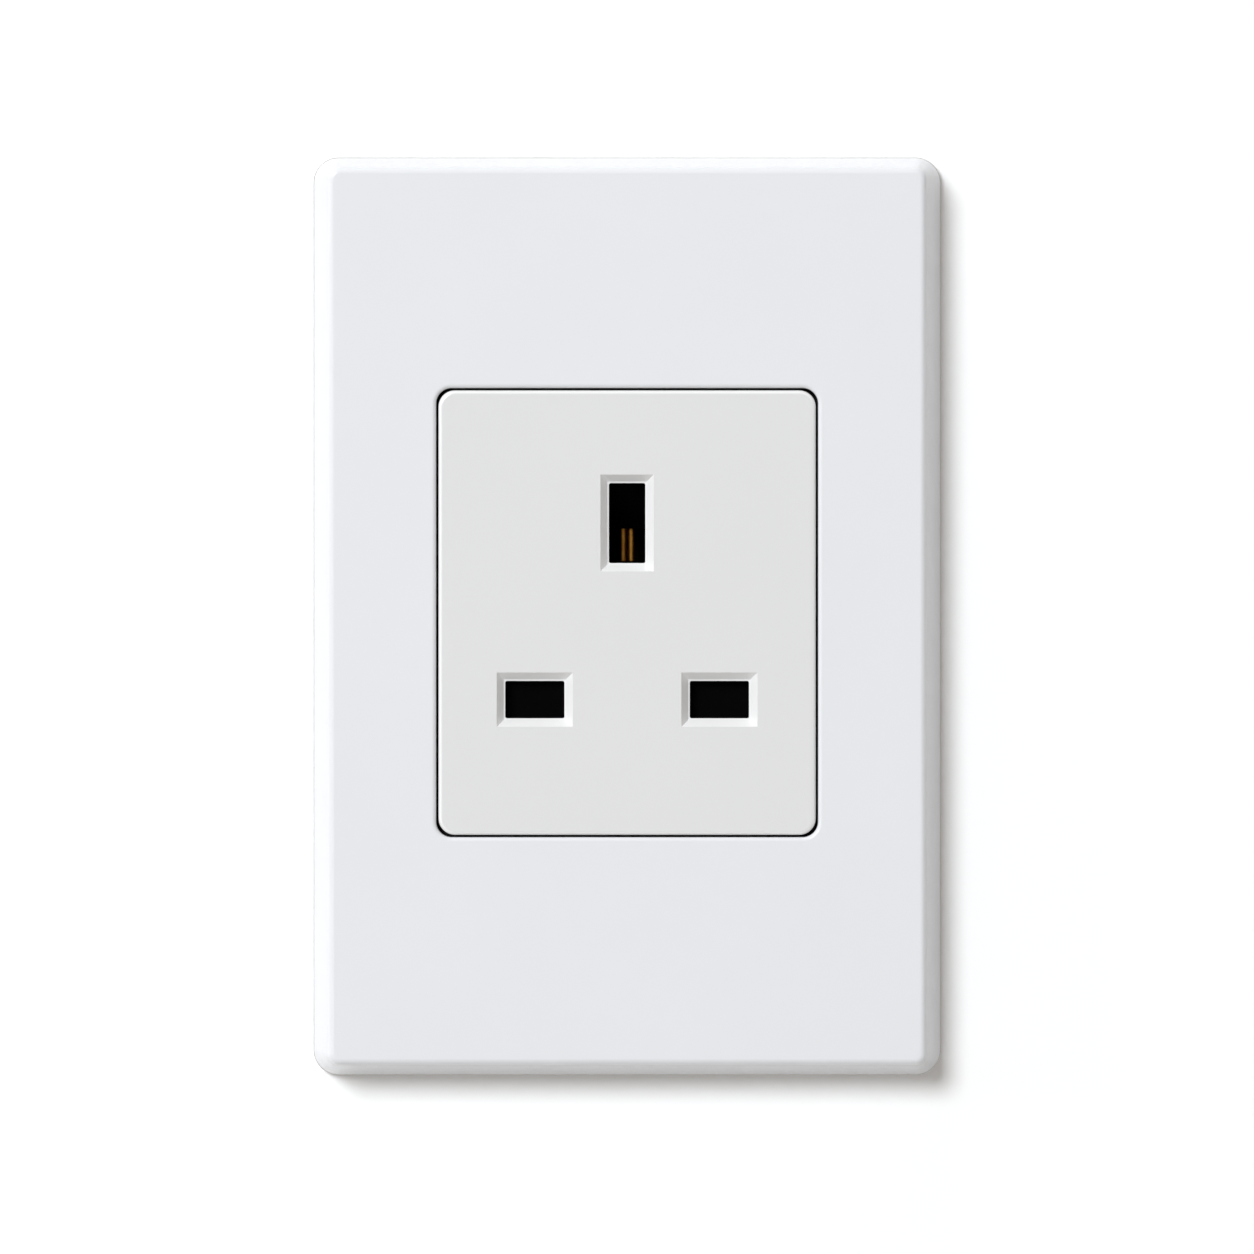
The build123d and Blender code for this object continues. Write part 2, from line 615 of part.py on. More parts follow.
# Terminals: a drilled brass block, its clamp screw and the rivet that joins it to the contact's tail
terminals = (
    ("line", 1, -1, pole_back),
    ("neutral", -1, -1, pole_back),
    ("earth", 1, 1, earth_back),
)
for name, side, end, back in terminals:
    x = side * terminal_x
    wire_height = back + TERMINAL_DEPTH - WIRE_DEPTH
    with BuildPart() as terminal:
        with BuildSketch(facing(back)):
            with Locations((x, end * (terminal_start + terminal_end) / 2)):
                Rectangle(terminal_width, terminal_length)
        extrude(amount=TERMINAL_DEPTH)
        chamfer(terminal.edges(), TERMINAL_EDGE)
        with BuildSketch(level(end * terminal_start)):
            with Locations((x, wire_height)):
                Circle(WIRE_RADIUS)
        extrude(amount=-end * terminal_length, mode=Mode.SUBTRACT)
        with BuildSketch(facing(back)):
            with Locations((x, end * clamp_z)):
                Circle(CLAMP_RADIUS + THREAD)
        extrude(amount=TERMINAL_DEPTH - WIRE_DEPTH, mode=Mode.SUBTRACT)
        with BuildSketch(facing(back)):
            with Locations((side * rivet_x, end * rivet_z)):
                Circle(RIVET_RADIUS + THREAD)
        extrude(amount=RIVET_DEPTH + SEAT, mode=Mode.SUBTRACT)
    terminal.part.label = f"{name}_terminal"
    export_step(terminal.part, f"parts/{name}_terminal.step")

    clamp_tip = wire_height - WIRE_RADIUS - CLAMP_OPEN
    with BuildPart() as clamp_screw:
        with BuildSketch(facing(clamp_tip)):
            with Locations((x, end * clamp_z)):
                Circle(CLAMP_RADIUS)
        extrude(amount=-CLAMP_LENGTH)
        chamfer(clamp_screw.edges().filter_by(GeomType.CIRCLE), CLAMP_SLOT / 2)
        with BuildSketch(facing(clamp_tip - CLAMP_LENGTH)):
            with Locations((x, end * clamp_z)):
                Rectangle(2 * CLAMP_RADIUS, CLAMP_SLOT)
        extrude(amount=CLAMP_SLOT, mode=Mode.SUBTRACT)
    clamp_screw.part.label = f"{name}_terminal_screw"
    export_step(clamp_screw.part, f"parts/{name}_terminal_screw.step")

    with BuildPart() as rivet:
        with BuildSketch(facing(back - STRIP)):
            with Locations((side * rivet_x, end * rivet_z)):
                Circle(RIVET_HEAD_RADIUS)
        extrude(amount=-RIVET_HEAD)
        fillet(rivet.faces().sort_by(Axis.Y)[-1].edges(), RIVET_HEAD / 2)
        with BuildSketch(facing(back - STRIP)):
            with Locations((side * rivet_x, end * rivet_z)):
                Circle(RIVET_RADIUS)
        extrude(amount=STRIP + RIVET_DEPTH)
    rivet.part.label = f"{name}_rivet"
    export_step(rivet.part, f"parts/{name}_rivet.step")


# Rear housing: a box with partitions beside the earth contact, pockets for the terminals and wells for their screws
with BuildPart() as socket_base:
    with BuildSketch(facing(base_rear)):
        RectangleRounded(neck_width, neck_height, NECK_CORNER)
    extrude(amount=PARTING - base_rear)
    with BuildSketch(facing(base_floor)):
        Rectangle(inner_width, inner_height)
    extrude(amount=PARTING - base_floor, mode=Mode.SUBTRACT)

    with BuildSketch(facing(base_floor)):
        with GridLocations(2 * boss_x, 2 * boss_z, 2, 2):
            Circle(BOSS_RADIUS)
    extrude(amount=PARTING - base_floor)
    with BuildSketch(facing(base_floor)):
        with GridLocations(2 * partition_x, 0, 2, 1):
            Rectangle(PARTITION, inner_height)
    extrude(amount=partition_top - base_floor)
    with BuildSketch(facing(base_floor)):
        with Locations((partition_x, (terminal_start + terminal_end) / 2)):
            Rectangle(PARTITION, terminal_length)
    extrude(amount=STRIP + 2 * SEAT, mode=Mode.SUBTRACT)

    for name, side, end, back in terminals:
        x = side * terminal_x
        rail_x = side * (terminal_outer_x + SEAT + POCKET_WALL / 2)
        pocket_top = back + TERMINAL_DEPTH - POCKET_DROP
        stop_start = partition_x + PARTITION / 2
        if end < 0:
            stop_start = pole_pin_x - POLE_JAW_WIDTH / 2
        stop_end = terminal_outer_x + SEAT + POCKET_WALL
        with BuildSketch(facing(base_floor)):
            with Locations((rail_x, end * (terminal_start + inner_height / 2) / 2)):
                Rectangle(POCKET_WALL, inner_height / 2 - terminal_start)
            with Locations((side * (stop_start + stop_end) / 2, end * (terminal_start - SEAT - POCKET_WALL / 2))):
                Rectangle(stop_end - stop_start, POCKET_WALL)
        extrude(amount=pocket_top - base_floor)
        if end < 0:
            with BuildSketch(facing(base_floor)):
                with Locations((x, end * clamp_z)):
                    Circle(CLAMP_RADIUS + WELL_GAP + WELL_WALL)
                with Locations((side * pole_pin_x, PIN_ROW_Z)):
                    Rectangle(REST_WIDTH, REST_HEIGHT)
            extrude(amount=back - STRIP - SEAT - base_floor)
        with BuildSketch(facing(base_rear)):
            with Locations((x, end * clamp_z)):
                Circle(CLAMP_RADIUS + WELL_GAP)
        extrude(amount=back - base_rear, mode=Mode.SUBTRACT)
        with BuildSketch(facing(back - STRIP)):
            with Locations((side * rivet_x, end * rivet_z)):
                Circle(RIVET_HEAD_RADIUS + SLIDE)
        extrude(amount=-RIVET_HEAD - SEAT, mode=Mode.SUBTRACT)
        with BuildSketch(level(end * inner_height / 2)):
            with Locations((x, back + TERMINAL_DEPTH - WIRE_DEPTH)):
                Rectangle(2 * ENTRY_HALF, 2 * ENTRY_HALF)
        extrude(amount=-end * HOUSING_WALL, mode=Mode.SUBTRACT)

    with BuildSketch(facing(base_rear)):
        with GridLocations(2 * boss_x, 2 * boss_z, 2, 2):
            Circle(SCREW_RADIUS + SCREW_CLEARANCE)
    extrude(amount=PARTING - base_rear, mode=Mode.SUBTRACT)
    with BuildSketch(facing(base_rear)):
        with GridLocations(2 * boss_x, 2 * boss_z, 2, 2):
            Circle(SCREW_HEAD_RADIUS + SCREW_HEAD_GAP)
    extrude(amount=SCREW_SINK, mode=Mode.SUBTRACT)

socket_base.part.label = "socket_base"
export_step(socket_base.part, "parts/socket_base.step")


# Assembly screws: hold the rear housing to the bosses of the front one
corners = (
    ("assembly_screw_upper_right", 1, 1),
    ("assembly_screw_upper_left", -1, 1),
    ("assembly_screw_lower_right", 1, -1),
    ("assembly_screw_lower_left", -1, -1),
)
for name, side, end in corners:
    with BuildPart() as assembly_screw:
        with BuildSketch(facing(head_seat)):
            with Locations((side * boss_x, end * boss_z)):
                Circle(SCREW_HEAD_RADIUS)
        extrude(amount=-SCREW_HEAD)
        fillet(assembly_screw.faces().sort_by(Axis.Y)[-1].edges(), SCREW_HEAD / 2)
        with BuildSketch(facing(head_seat)):
            with Locations((side * boss_x, end * boss_z)):
                Circle(SCREW_RADIUS)
        extrude(amount=SCREW_LENGTH)
        chamfer(assembly_screw.faces().sort_by(Axis.Y)[0].edges(), SCREW_RADIUS / 3)
        with BuildSketch(facing(head_seat - SCREW_HEAD)):
            with Locations((side * boss_x, end * boss_z)):
                Rectangle(DRIVE_LENGTH * SCREW_HEAD_RADIUS / FIXING_HEAD_RADIUS, DRIVE_WIDTH)
                Rectangle(DRIVE_WIDTH, DRIVE_LENGTH * SCREW_HEAD_RADIUS / FIXING_HEAD_RADIUS)
        extrude(amount=DRIVE_DEPTH, mode=Mode.SUBTRACT)
    assembly_screw.part.label = name
    export_step(assembly_screw.part, f"parts/{name}.step")
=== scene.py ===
import math
import bpy
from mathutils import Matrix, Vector


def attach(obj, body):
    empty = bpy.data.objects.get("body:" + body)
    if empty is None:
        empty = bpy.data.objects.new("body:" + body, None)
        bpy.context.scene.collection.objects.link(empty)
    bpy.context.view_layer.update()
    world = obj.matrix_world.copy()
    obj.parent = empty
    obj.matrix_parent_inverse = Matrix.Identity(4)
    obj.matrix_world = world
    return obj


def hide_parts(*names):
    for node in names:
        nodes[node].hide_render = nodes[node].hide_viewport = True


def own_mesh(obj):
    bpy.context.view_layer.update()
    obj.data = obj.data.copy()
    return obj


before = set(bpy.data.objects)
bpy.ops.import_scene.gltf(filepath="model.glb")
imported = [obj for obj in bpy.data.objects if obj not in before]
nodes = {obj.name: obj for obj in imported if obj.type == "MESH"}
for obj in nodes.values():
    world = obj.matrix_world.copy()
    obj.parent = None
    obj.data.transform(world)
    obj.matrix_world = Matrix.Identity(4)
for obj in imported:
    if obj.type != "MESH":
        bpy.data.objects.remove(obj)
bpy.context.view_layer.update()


# Wall and floor
# The socket is fixed to a plain wall in matt white emulsion. A hairline stays open round the plate's rim and
# shows as a thin grey line. The wall is cut out behind the plate and is seen from the room side only.
def linear(colour):
    """An sRGB hex colour as linear RGBA"""
    parts = [int(colour[i:i + 2], 16) / 255 for i in (1, 3, 5)]
    return [c / 12.92 if c <= 0.04045 else ((c + 0.055) / 1.055) ** 2.4 for c in parts] + [1.0]


def add(tree, kind, settings=None, **inputs):
    """Adds a node with its settings; an input goes by its label or number and takes a value or a socket"""
    node = tree.nodes.new(kind)
    for name, value in (settings or {}).items():
        setattr(node, name, value)
    for name, value in inputs.items():
        socket = node.inputs[int(name[1:]) if name[1:].isdigit() else name.replace("_", " ")]
        if isinstance(value, bpy.types.NodeSocket):
            tree.links.new(value, socket)
        else:
            socket.default_value = value
    return node


def new_material(name):
    material = bpy.data.materials.new(name)
    material.use_nodes = True
    material.node_tree.nodes.clear()
    return material, material.node_tree


def new_piece(name, points, faces, material):
    mesh = bpy.data.meshes.new(name)
    mesh.from_pydata(points, [], faces)
    mesh.materials.append(material)
    piece = bpy.data.objects.new(name, mesh)
    bpy.context.scene.collection.objects.link(piece)
    return piece


emulsion, tree = new_material("matt emulsion on plaster")
stipples_per_m = 900.0
stipple_height = 0.0001
place = add(tree, "ShaderNodeTexCoord").outputs["Object"]
stipple = add(tree, "ShaderNodeTexNoise", Vector=place, Scale=stipples_per_m, Detail=3.0)
relief = add(tree, "ShaderNodeBump", Height=stipple.outputs[0], Strength=0.05, Distance=stipple_height)
paint = add(
    tree, "ShaderNodeBsdfPrincipled", Base_Color=linear("#fbfbfb"), Roughness=0.9, Normal=relief.outputs[0]
)
clear = add(tree, "ShaderNodeBsdfTransparent")
behind = add(tree, "ShaderNodeNewGeometry").outputs["Backfacing"]
seen = add(tree, "ShaderNodeMixShader", _0=behind, _1=paint.outputs[0], _2=clear.outputs[0])
add(tree, "ShaderNodeOutputMaterial", Surface=seen.outputs[0])


def outline(half_width, half_height, radius, steps=16):
    """Points of a rectangle with rounded corners on the wall's surface, going round from the right"""
    points = []
    for corner, (side, end) in enumerate(((1, 1), (-1, 1), (-1, -1), (1, -1))):
        for i in range(steps + 1):
            angle = math.pi / 2 * (corner + i / steps)
            x = side * (half_width - radius) + radius * math.cos(angle)
            z = end * (half_height - radius) + radius * math.sin(angle)
            points.append((x, 0, z))
    return points


wall_half = 1.1
wall_corner = 0.01
plate_half_width = 0.03825
plate_half_height = 0.056
plate_corner = 0.003
hairline = 0.00009
hole = outline(plate_half_width + hairline, plate_half_height + hairline, plate_corner + hairline)
edge = outline(wall_half, wall_half, wall_corner)
wall_faces = []
for i in range(len(hole)):
    j = (i + 1) % len(hole)
    wall_faces.append((i, len(hole) + i, len(hole) + j, j))
wall = new_piece("wall", hole + edge, wall_faces, emulsion)

screed, tree = new_material("pale smooth floor")
coat = add(tree, "ShaderNodeBsdfPrincipled", Base_Color=linear("#c9c7c3"), Roughness=0.8)
add(tree, "ShaderNodeOutputMaterial", Surface=coat.outputs[0])
floor_half = 1.5
floor_corners = [(side * floor_half, end * floor_half, -wall_half) for side, end in (
    (-1, -1), (1, -1), (1, 1), (-1, 1),
)]
floor = new_piece("floor", floor_corners, [(0, 1, 2, 3)], screed)


# Mounting frame
# A hollow-backed frame moulded in anthracite nylon, screwed over the wall box. It carries the module in its
# window and the cover plate on its rim. Its steel tool was spark-eroded, which leaves an even matt grain.
def moulded(name, colour, shade, grain, relief, roughness, gloss, edge_highlight=None):
    """Moulded plastic: grain and relief in metres from the tool's steel, slow changes of tone where the melt
    flowed, and a painted highlight: a lighter colour on every surface that tilts away from the room, such as
    edge roundings and bevels"""
    material, tree = new_material(name)
    flow_size = 0.018
    place = add(tree, "ShaderNodeTexCoord").outputs["Object"]
    flow = add(
        tree, "ShaderNodeTexNoise", Vector=place, Scale=1 / flow_size, Detail=2.0, Roughness=0.5
    ).outputs[0]
    spark = add(
        tree, "ShaderNodeTexNoise", Vector=place, Scale=1 / grain, Detail=3.0, Roughness=0.6
    ).outputs[0]
    tone = add(tree, "ShaderNodeMapRange", Value=flow, From_Min=0.3, From_Max=0.7).outputs[0]
    melt = add(
        tree, "ShaderNodeMix", {"data_type": "RGBA"}, _0=tone, _6=linear(colour), _7=linear(shade)
    ).outputs[2]
    # Painted highlight: surfaces that tilt away from the room, such as edge roundings and bevels, take a
    # lighter colour
    if edge_highlight:
        normal = add(tree, "ShaderNodeNewGeometry").outputs["Normal"]
        facing = add(tree, "ShaderNodeSeparateXYZ", _0=normal).outputs["Y"]
        facing = add(tree, "ShaderNodeMath", {"operation": "ABSOLUTE"}, _0=facing).outputs[0]
        highlight_share = add(tree, "ShaderNodeMapRange", Value=facing, From_Min=0.995, From_Max=0.93).outputs[0]
        melt = add(
            tree, "ShaderNodeMix", {"data_type": "RGBA"}, _0=highlight_share, _6=melt, _7=linear(edge_highlight)
        ).outputs[2]
    sheen = add(
        tree, "ShaderNodeMapRange", Value=spark, From_Min=0.3, From_Max=0.7,
        To_Min=roughness - 0.04, To_Max=roughness + 0.04,
    ).outputs[0]
    bumps = add(tree, "ShaderNodeBump", Height=spark, Strength=1.0, Distance=relief).outputs[0]
    body = add(
        tree, "ShaderNodeBsdfPrincipled", Base_Color=melt, Roughness=sheen, IOR=1.5,
        Specular_IOR_Level=gloss, Normal=bumps,
    )
    add(tree, "ShaderNodeOutputMaterial", Surface=body.outputs[0])
    return material


def finish(node, material):
    """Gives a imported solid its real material"""
    nodes[node].data.materials.clear()
    nodes[node].data.materials.append(material)


anthracite_nylon = moulded(
    "anthracite nylon, spark-eroded", colour="#25211e", shade="#201c19",
    grain=0.00035, relief=0.000012, roughness=0.62, gloss=0.4,
)
finish("mounting_frame", anthracite_nylon)


# Fixing screws
# Two pan-head M3.5 machine screws in bright zinc plate, with a cross recess, hold the frame to the box's lugs.
# Their threads are rolled, so the crest stands a little proud of the plain neck under the head.
def plated(name, colour, tint, roughness):
    """Zinc plate on steel: a thin bright crystal layer with a faint straw tint and a soft shine"""
    material, tree = new_material(name)
    crystal_size = 0.00025
    crystal_height = 0.000004
    cloud_size = 0.003
    place = add(tree, "ShaderNodeTexCoord").outputs["Object"]
    crystal = add(tree, "ShaderNodeTexNoise", Vector=place, Scale=1 / crystal_size, Detail=3.0).outputs[0]
    cloud = add(tree, "ShaderNodeTexNoise", Vector=place, Scale=1 / cloud_size, Detail=2.0).outputs[0]
    patch = add(tree, "ShaderNodeMapRange", Value=cloud, From_Min=0.35, From_Max=0.65).outputs[0]
    zinc = add(
        tree, "ShaderNodeMix", {"data_type": "RGBA"}, _0=patch, _6=linear(colour), _7=linear(tint)
    ).outputs[2]
    shine = add(
        tree, "ShaderNodeMapRange", Value=crystal, From_Min=0.3, From_Max=0.7,
        To_Min=roughness - 0.06, To_Max=roughness + 0.06,
    ).outputs[0]
    bumps = add(tree, "ShaderNodeBump", Height=crystal, Strength=1.0, Distance=crystal_height).outputs[0]
    body = add(
        tree, "ShaderNodeBsdfPrincipled", Base_Color=zinc, Metallic=1.0, Roughness=shine, Normal=bumps
    )
    add(tree, "ShaderNodeOutputMaterial", Surface=body.outputs[0])
    return material


def turned(name, profile, material, steps=40):
    """A solid turned round Z from points of radius and height in mm, the first and the last on the axis"""
    points = [(0, 0, profile[0][1] / 1000)]
    rings = profile[1:-1]
    for radius, height in rings:
        for i in range(steps):
            angle = 2 * math.pi * i / steps
            across = (radius / 1000 * math.cos(angle), radius / 1000 * math.sin(angle))
            points.append((*across, height / 1000))
    points.append((0, 0, profile[-1][1] / 1000))
    faces = []
    for i in range(steps):
        j = (i + 1) % steps
        faces.append((0, 1 + j, 1 + i))
        for k in range(len(rings) - 1):
            low = 1 + k * steps
            faces.append((low + i, low + j, low + steps + j, low + steps + i))
        last = 1 + (len(rings) - 1) * steps
        faces.append((last + i, last + j, len(points) - 1))
    return new_piece(name, points, faces, material)


def arc(centre, radius, start, end, steps=6):
    """Points of radius and height on an arc, in mm and degrees"""
    angles = [math.radians(start + (end - start) * i / steps) for i in range(steps + 1)]
    return [(centre[0] + radius * math.cos(a), centre[1] + radius * math.sin(a)) for a in angles]


def new_tree(name, sizes):
    """A geometry tree with a geometry input and output, and an input for each size and its kind of value"""
    tree = bpy.data.node_groups.new(name, "GeometryNodeTree")
    tree.interface.new_socket("Geometry", in_out="INPUT", socket_type="NodeSocketGeometry")
    for label, kind in sizes.items():
        tree.interface.new_socket(label, in_out="INPUT", socket_type="NodeSocket" + kind)
    tree.interface.new_socket("Geometry", in_out="OUTPUT", socket_type="NodeSocketGeometry")
    return tree, add(tree, "NodeGroupInput").outputs


def grow(piece, tree, sizes, sharp=35):
    """Runs a geometry tree on a piece and keeps the result as a plain mesh, smooth up to an angle"""
    modifier = piece.modifiers.new(tree.name, "NODES")
    modifier.node_group = tree
    for item in tree.interface.items_tree:
        if item.in_out == "INPUT" and item.name in sizes:
            modifier[item.identifier] = sizes[item.name]
    graph = bpy.context.evaluated_depsgraph_get()
    piece.data = bpy.data.meshes.new_from_object(piece.evaluated_get(graph))
    piece.modifiers.remove(modifier)
    piece.data.shade_smooth()
    piece.data.set_sharp_from_angle(angle=math.radians(sharp))


# The tree cuts a slot or a cross in a turned blank, winds a thread on it, and sets copies of it on a grid
screw_tree, given = new_tree("screws on a grid", {
    "Thread Radius": "Float", "Thread Depth": "Float", "Pitch": "Float", "Thread Top": "Float",
    "Thread Length": "Float", "Drive Top": "Float", "Drive Length": "Float", "Drive Width": "Float",
    "Drive Depth": "Float", "Cross": "Bool", "Columns": "Int", "Rows": "Int", "Width": "Float",
    "Height": "Float", "Centre": "Vector", "Turn": "Vector", "Finish": "Material",
})
t = screw_tree
half_diagonal = math.sqrt(0.5)
taper = 0.72
over_depth = 1.2
punch = add(
    t, "GeometryNodeMeshCone", {"fill_type": "NGON"}, Vertices=4, Radius_Top=half_diagonal,
    Radius_Bottom=half_diagonal * taper, Depth=1.0,
).outputs["Mesh"]
punch = add(t, "GeometryNodeTransform", _0=punch, Rotation=(0, 0, math.pi / 4)).outputs[0]
deep = add(t, "ShaderNodeMath", {"operation": "MULTIPLY"}, _0=given["Drive Depth"], _1=over_depth).outputs[0]
foot = add(
    t, "ShaderNodeMath", {"operation": "SUBTRACT"}, _0=given["Drive Top"], _1=given["Drive Depth"]
).outputs[0]
bar_size = add(t, "ShaderNodeCombineXYZ", X=given["Drive Length"], Y=given["Drive Width"], Z=deep).outputs[0]
bar_place = add(t, "ShaderNodeCombineXYZ", Z=foot).outputs[0]
bar = add(t, "GeometryNodeTransform", _0=punch, Translation=bar_place, Scale=bar_size).outputs[0]
second = add(t, "GeometryNodeTransform", _0=bar, Rotation=(0, 0, math.pi / 2)).outputs[0]
second = add(
    t, "GeometryNodeSwitch", {"input_type": "GEOMETRY"}, Switch=given["Cross"], _2=second
).outputs[0]
cut = add(t, "GeometryNodeMeshBoolean", {"operation": "DIFFERENCE"}, _0=given["Geometry"], _1=bar)
t.links.new(second, cut.inputs[1])
root_radius = add(
    t, "ShaderNodeMath", {"operation": "SUBTRACT"}, _0=given["Thread Radius"], _1=given["Thread Depth"]
).outputs[0]
turns = add(
    t, "ShaderNodeMath", {"operation": "DIVIDE"}, _0=given["Thread Length"], _1=given["Pitch"]
).outputs[0]
helix = add(
    t, "GeometryNodeCurveSpiral", Resolution=32, Rotations=turns, Start_Radius=root_radius,
    End_Radius=root_radius, Height=given["Thread Length"],
).outputs[0]
low = add(
    t, "ShaderNodeMath", {"operation": "SUBTRACT"}, _0=given["Thread Top"], _1=given["Thread Length"]
).outputs[0]
helix_place = add(t, "ShaderNodeCombineXYZ", Z=low).outputs[0]
helix = add(t, "GeometryNodeTransform", _0=helix, Translation=helix_place).outputs[0]
helix = add(t, "GeometryNodeSetCurveNormal", {"mode": "Z_UP"}, _0=helix).outputs[0]
flank = add(t, "GeometryNodeCurvePrimitiveCircle", Resolution=4, Radius=given["Thread Depth"]).outputs[0]
ridge = add(t, "GeometryNodeCurveToMesh", Curve=helix, Profile_Curve=flank, Fill_Caps=True).outputs[0]
screw = add(t, "GeometryNodeJoinGeometry", _0=cut.outputs[0])
t.links.new(ridge, screw.inputs[0])
grid = add(
    t, "GeometryNodeMeshGrid", Size_X=given["Width"], Size_Y=given["Height"],
    Vertices_X=given["Columns"], Vertices_Y=given["Rows"],
).outputs[0]
grid = add(
    t, "GeometryNodeTransform", _0=grid, Translation=given["Centre"], Rotation=(math.pi / 2, 0, 0)
).outputs[0]
copies = add(
    t, "GeometryNodeInstanceOnPoints", Points=grid, Instance=screw.outputs[0], Rotation=given["Turn"]
).outputs[0]
solid = add(t, "GeometryNodeRealizeInstances", _0=copies).outputs[0]
dressed = add(t, "GeometryNodeSetMaterial", _0=solid, Material=given["Finish"]).outputs[0]
add(t, "NodeGroupOutput", _0=dressed)

bright_zinc = plated("bright zinc plate", colour="#cfcfca", tint="#c4c0b2", roughness=0.3)
fixing_centres = 0.0835
fixing_seat = -0.0024
fixing_screws = turned(
    "fixing_screws",
    [(0, -25), (0.95, -25), (1.38, -24.4), (1.38, -2.4), (1.55, -2.4), (1.55, 0), (3.3, 0),
     *arc((2.2, 1.1), 1.1, 0, 90), (0, 2.2)],
    bright_zinc,
)
grow(fixing_screws, screw_tree, {
    "Thread Radius": 0.00175, "Thread Depth": 0.00037, "Pitch": 0.0006, "Thread Top": -0.0026,
    "Thread Length": 0.0216, "Drive Top": 0.0022, "Drive Length": 0.004, "Drive Width": 0.0009,
    "Drive Depth": 0.0011, "Cross": True, "Columns": 1, "Rows": 2, "Width": 0.0, "Height": fixing_centres,
    "Centre": [0.0, fixing_seat, 0.0], "Turn": [math.pi / 2, 0.0, 0.0], "Finish": bright_zinc,
})
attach(fixing_screws, "root")
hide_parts("fixing_screw_top", "fixing_screw_bottom")


# Rear housing
# A deep box moulded in black glass-filled nylon, with pockets for the terminals, wells for a screwdriver and an
# entry for each wire. The glass leaves it matt, with a faint mottle.
black_nylon = moulded(
    "black glass-filled nylon", colour="#18191a", shade="#131415",
    grain=0.0005, relief=0.000015, roughness=0.56, gloss=0.4,
)
finish("socket_base", black_nylon)


# Contacts
# Three folded strips of half-hard brass whose jaws grip the pins. Rolling leaves fine lines along each strip,
# and air and sparks have dulled the bends to amber.
def worked_brass(name, colour, tarnish, lines, roughness):
    """Brass with the fine lines of rolling or drawing, given as lines per metre along X, Y and Z"""
    material, tree = new_material(name)
    bloom_size = 0.0025
    line_height = 0.000006
    place = add(tree, "ShaderNodeTexCoord").outputs["Object"]
    along = add(tree, "ShaderNodeMapping", Vector=place, Scale=lines).outputs[0]
    streaks = add(tree, "ShaderNodeTexNoise", Vector=along, Scale=1.0, Detail=2.0).outputs[0]
    bloom = add(tree, "ShaderNodeTexNoise", Vector=place, Scale=1 / bloom_size, Detail=3.0).outputs[0]
    age = add(tree, "ShaderNodeMapRange", Value=bloom, From_Min=0.4, From_Max=0.7).outputs[0]
    metal = add(
        tree, "ShaderNodeMix", {"data_type": "RGBA"}, _0=age, _6=linear(colour), _7=linear(tarnish)
    ).outputs[2]
    shine = add(
        tree, "ShaderNodeMapRange", Value=streaks, From_Min=0.3, From_Max=0.7,
        To_Min=roughness - 0.07, To_Max=roughness + 0.07,
    ).outputs[0]
    bumps = add(tree, "ShaderNodeBump", Height=streaks, Strength=1.0, Distance=line_height).outputs[0]
    body = add(
        tree, "ShaderNodeBsdfPrincipled", Base_Color=metal, Metallic=1.0, Roughness=shine, Normal=bumps
    )
    add(tree, "ShaderNodeOutputMaterial", Surface=body.outputs[0])
    return material


pole_strip = worked_brass(
    "rolled brass strip, across", colour="#dca04a", tarnish="#b9802f", lines=(9000, 250, 250), roughness=0.34
)
earth_strip = worked_brass(
    "rolled brass strip, upright", colour="#dca04a", tarnish="#b9802f", lines=(250, 250, 9000), roughness=0.34
)
finish("line_contact", pole_strip)
finish("neutral_contact", pole_strip)
finish("earth_contact", earth_strip)


# Terminals
# Blocks sawn from drawn brass bar and drilled for the wire, each held to its contact's tail by a brass rivet
# and closed on the wire by a slotted M3.5 screw that is reached from behind.
drawn_bar = worked_brass(
    "drawn brass bar", colour="#d8b878", tarnish="#c29f5c", lines=(7000, 7000, 200), roughness=0.36
)
for name in ("line", "neutral", "earth"):
    finish(f"{name}_terminal", drawn_bar)
    finish(f"{name}_rivet", drawn_bar)

terminal_spacing = 0.01885
pole_centre = [0.0, 0.0129, -0.02056]
earth_centre = [0.009425, 0.0179, 0.02144]
for name, replaced, columns, width, centre in (
    ("pole_clamp_screws", ("line_terminal_screw", "neutral_terminal_screw"), 2, terminal_spacing, pole_centre),
    ("earth_clamp_screw", ("earth_terminal_screw",), 1, 0.0, earth_centre),
):
    clamp_screws = turned(
        name,
        [(0, -5), (1.0, -5), (1.4, -4.6), (1.4, -0.4), (1.3, 0), (0, 0)],
        bright_zinc,
    )
    grow(clamp_screws, screw_tree, {
        "Thread Radius": 0.00175, "Thread Depth": 0.00036, "Pitch": 0.0006, "Thread Top": -0.00045,
        "Thread Length": 0.0041, "Drive Top": 0.0, "Drive Length": 0.0032, "Drive Width": 0.0008,
        "Drive Depth": 0.0008, "Cross": False, "Columns": columns, "Rows": 1, "Width": width, "Height": 0.0,
        "Centre": centre, "Turn": [-math.pi / 2, 0.0, 0.0], "Finish": bright_zinc,
    })
    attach(clamp_screws, "root")
    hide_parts(*replaced)


# Shutter
# One black acetal moulding behind the face. Its bar closes the line and neutral slots until the earth pin
# pushes the ramp up. Its colour and shine are set near zero, darker than the acetal itself, as painted shade
# that makes the slots look deep and empty.
black_acetal_and_slot_shade = moulded(
    "black acetal with painted slot shade", colour="#040404", shade="#030303",
    grain=0.0003, relief=0.000008, roughness=0.75, gloss=0.02,
)
finish("shutter", black_acetal_and_slot_shade)
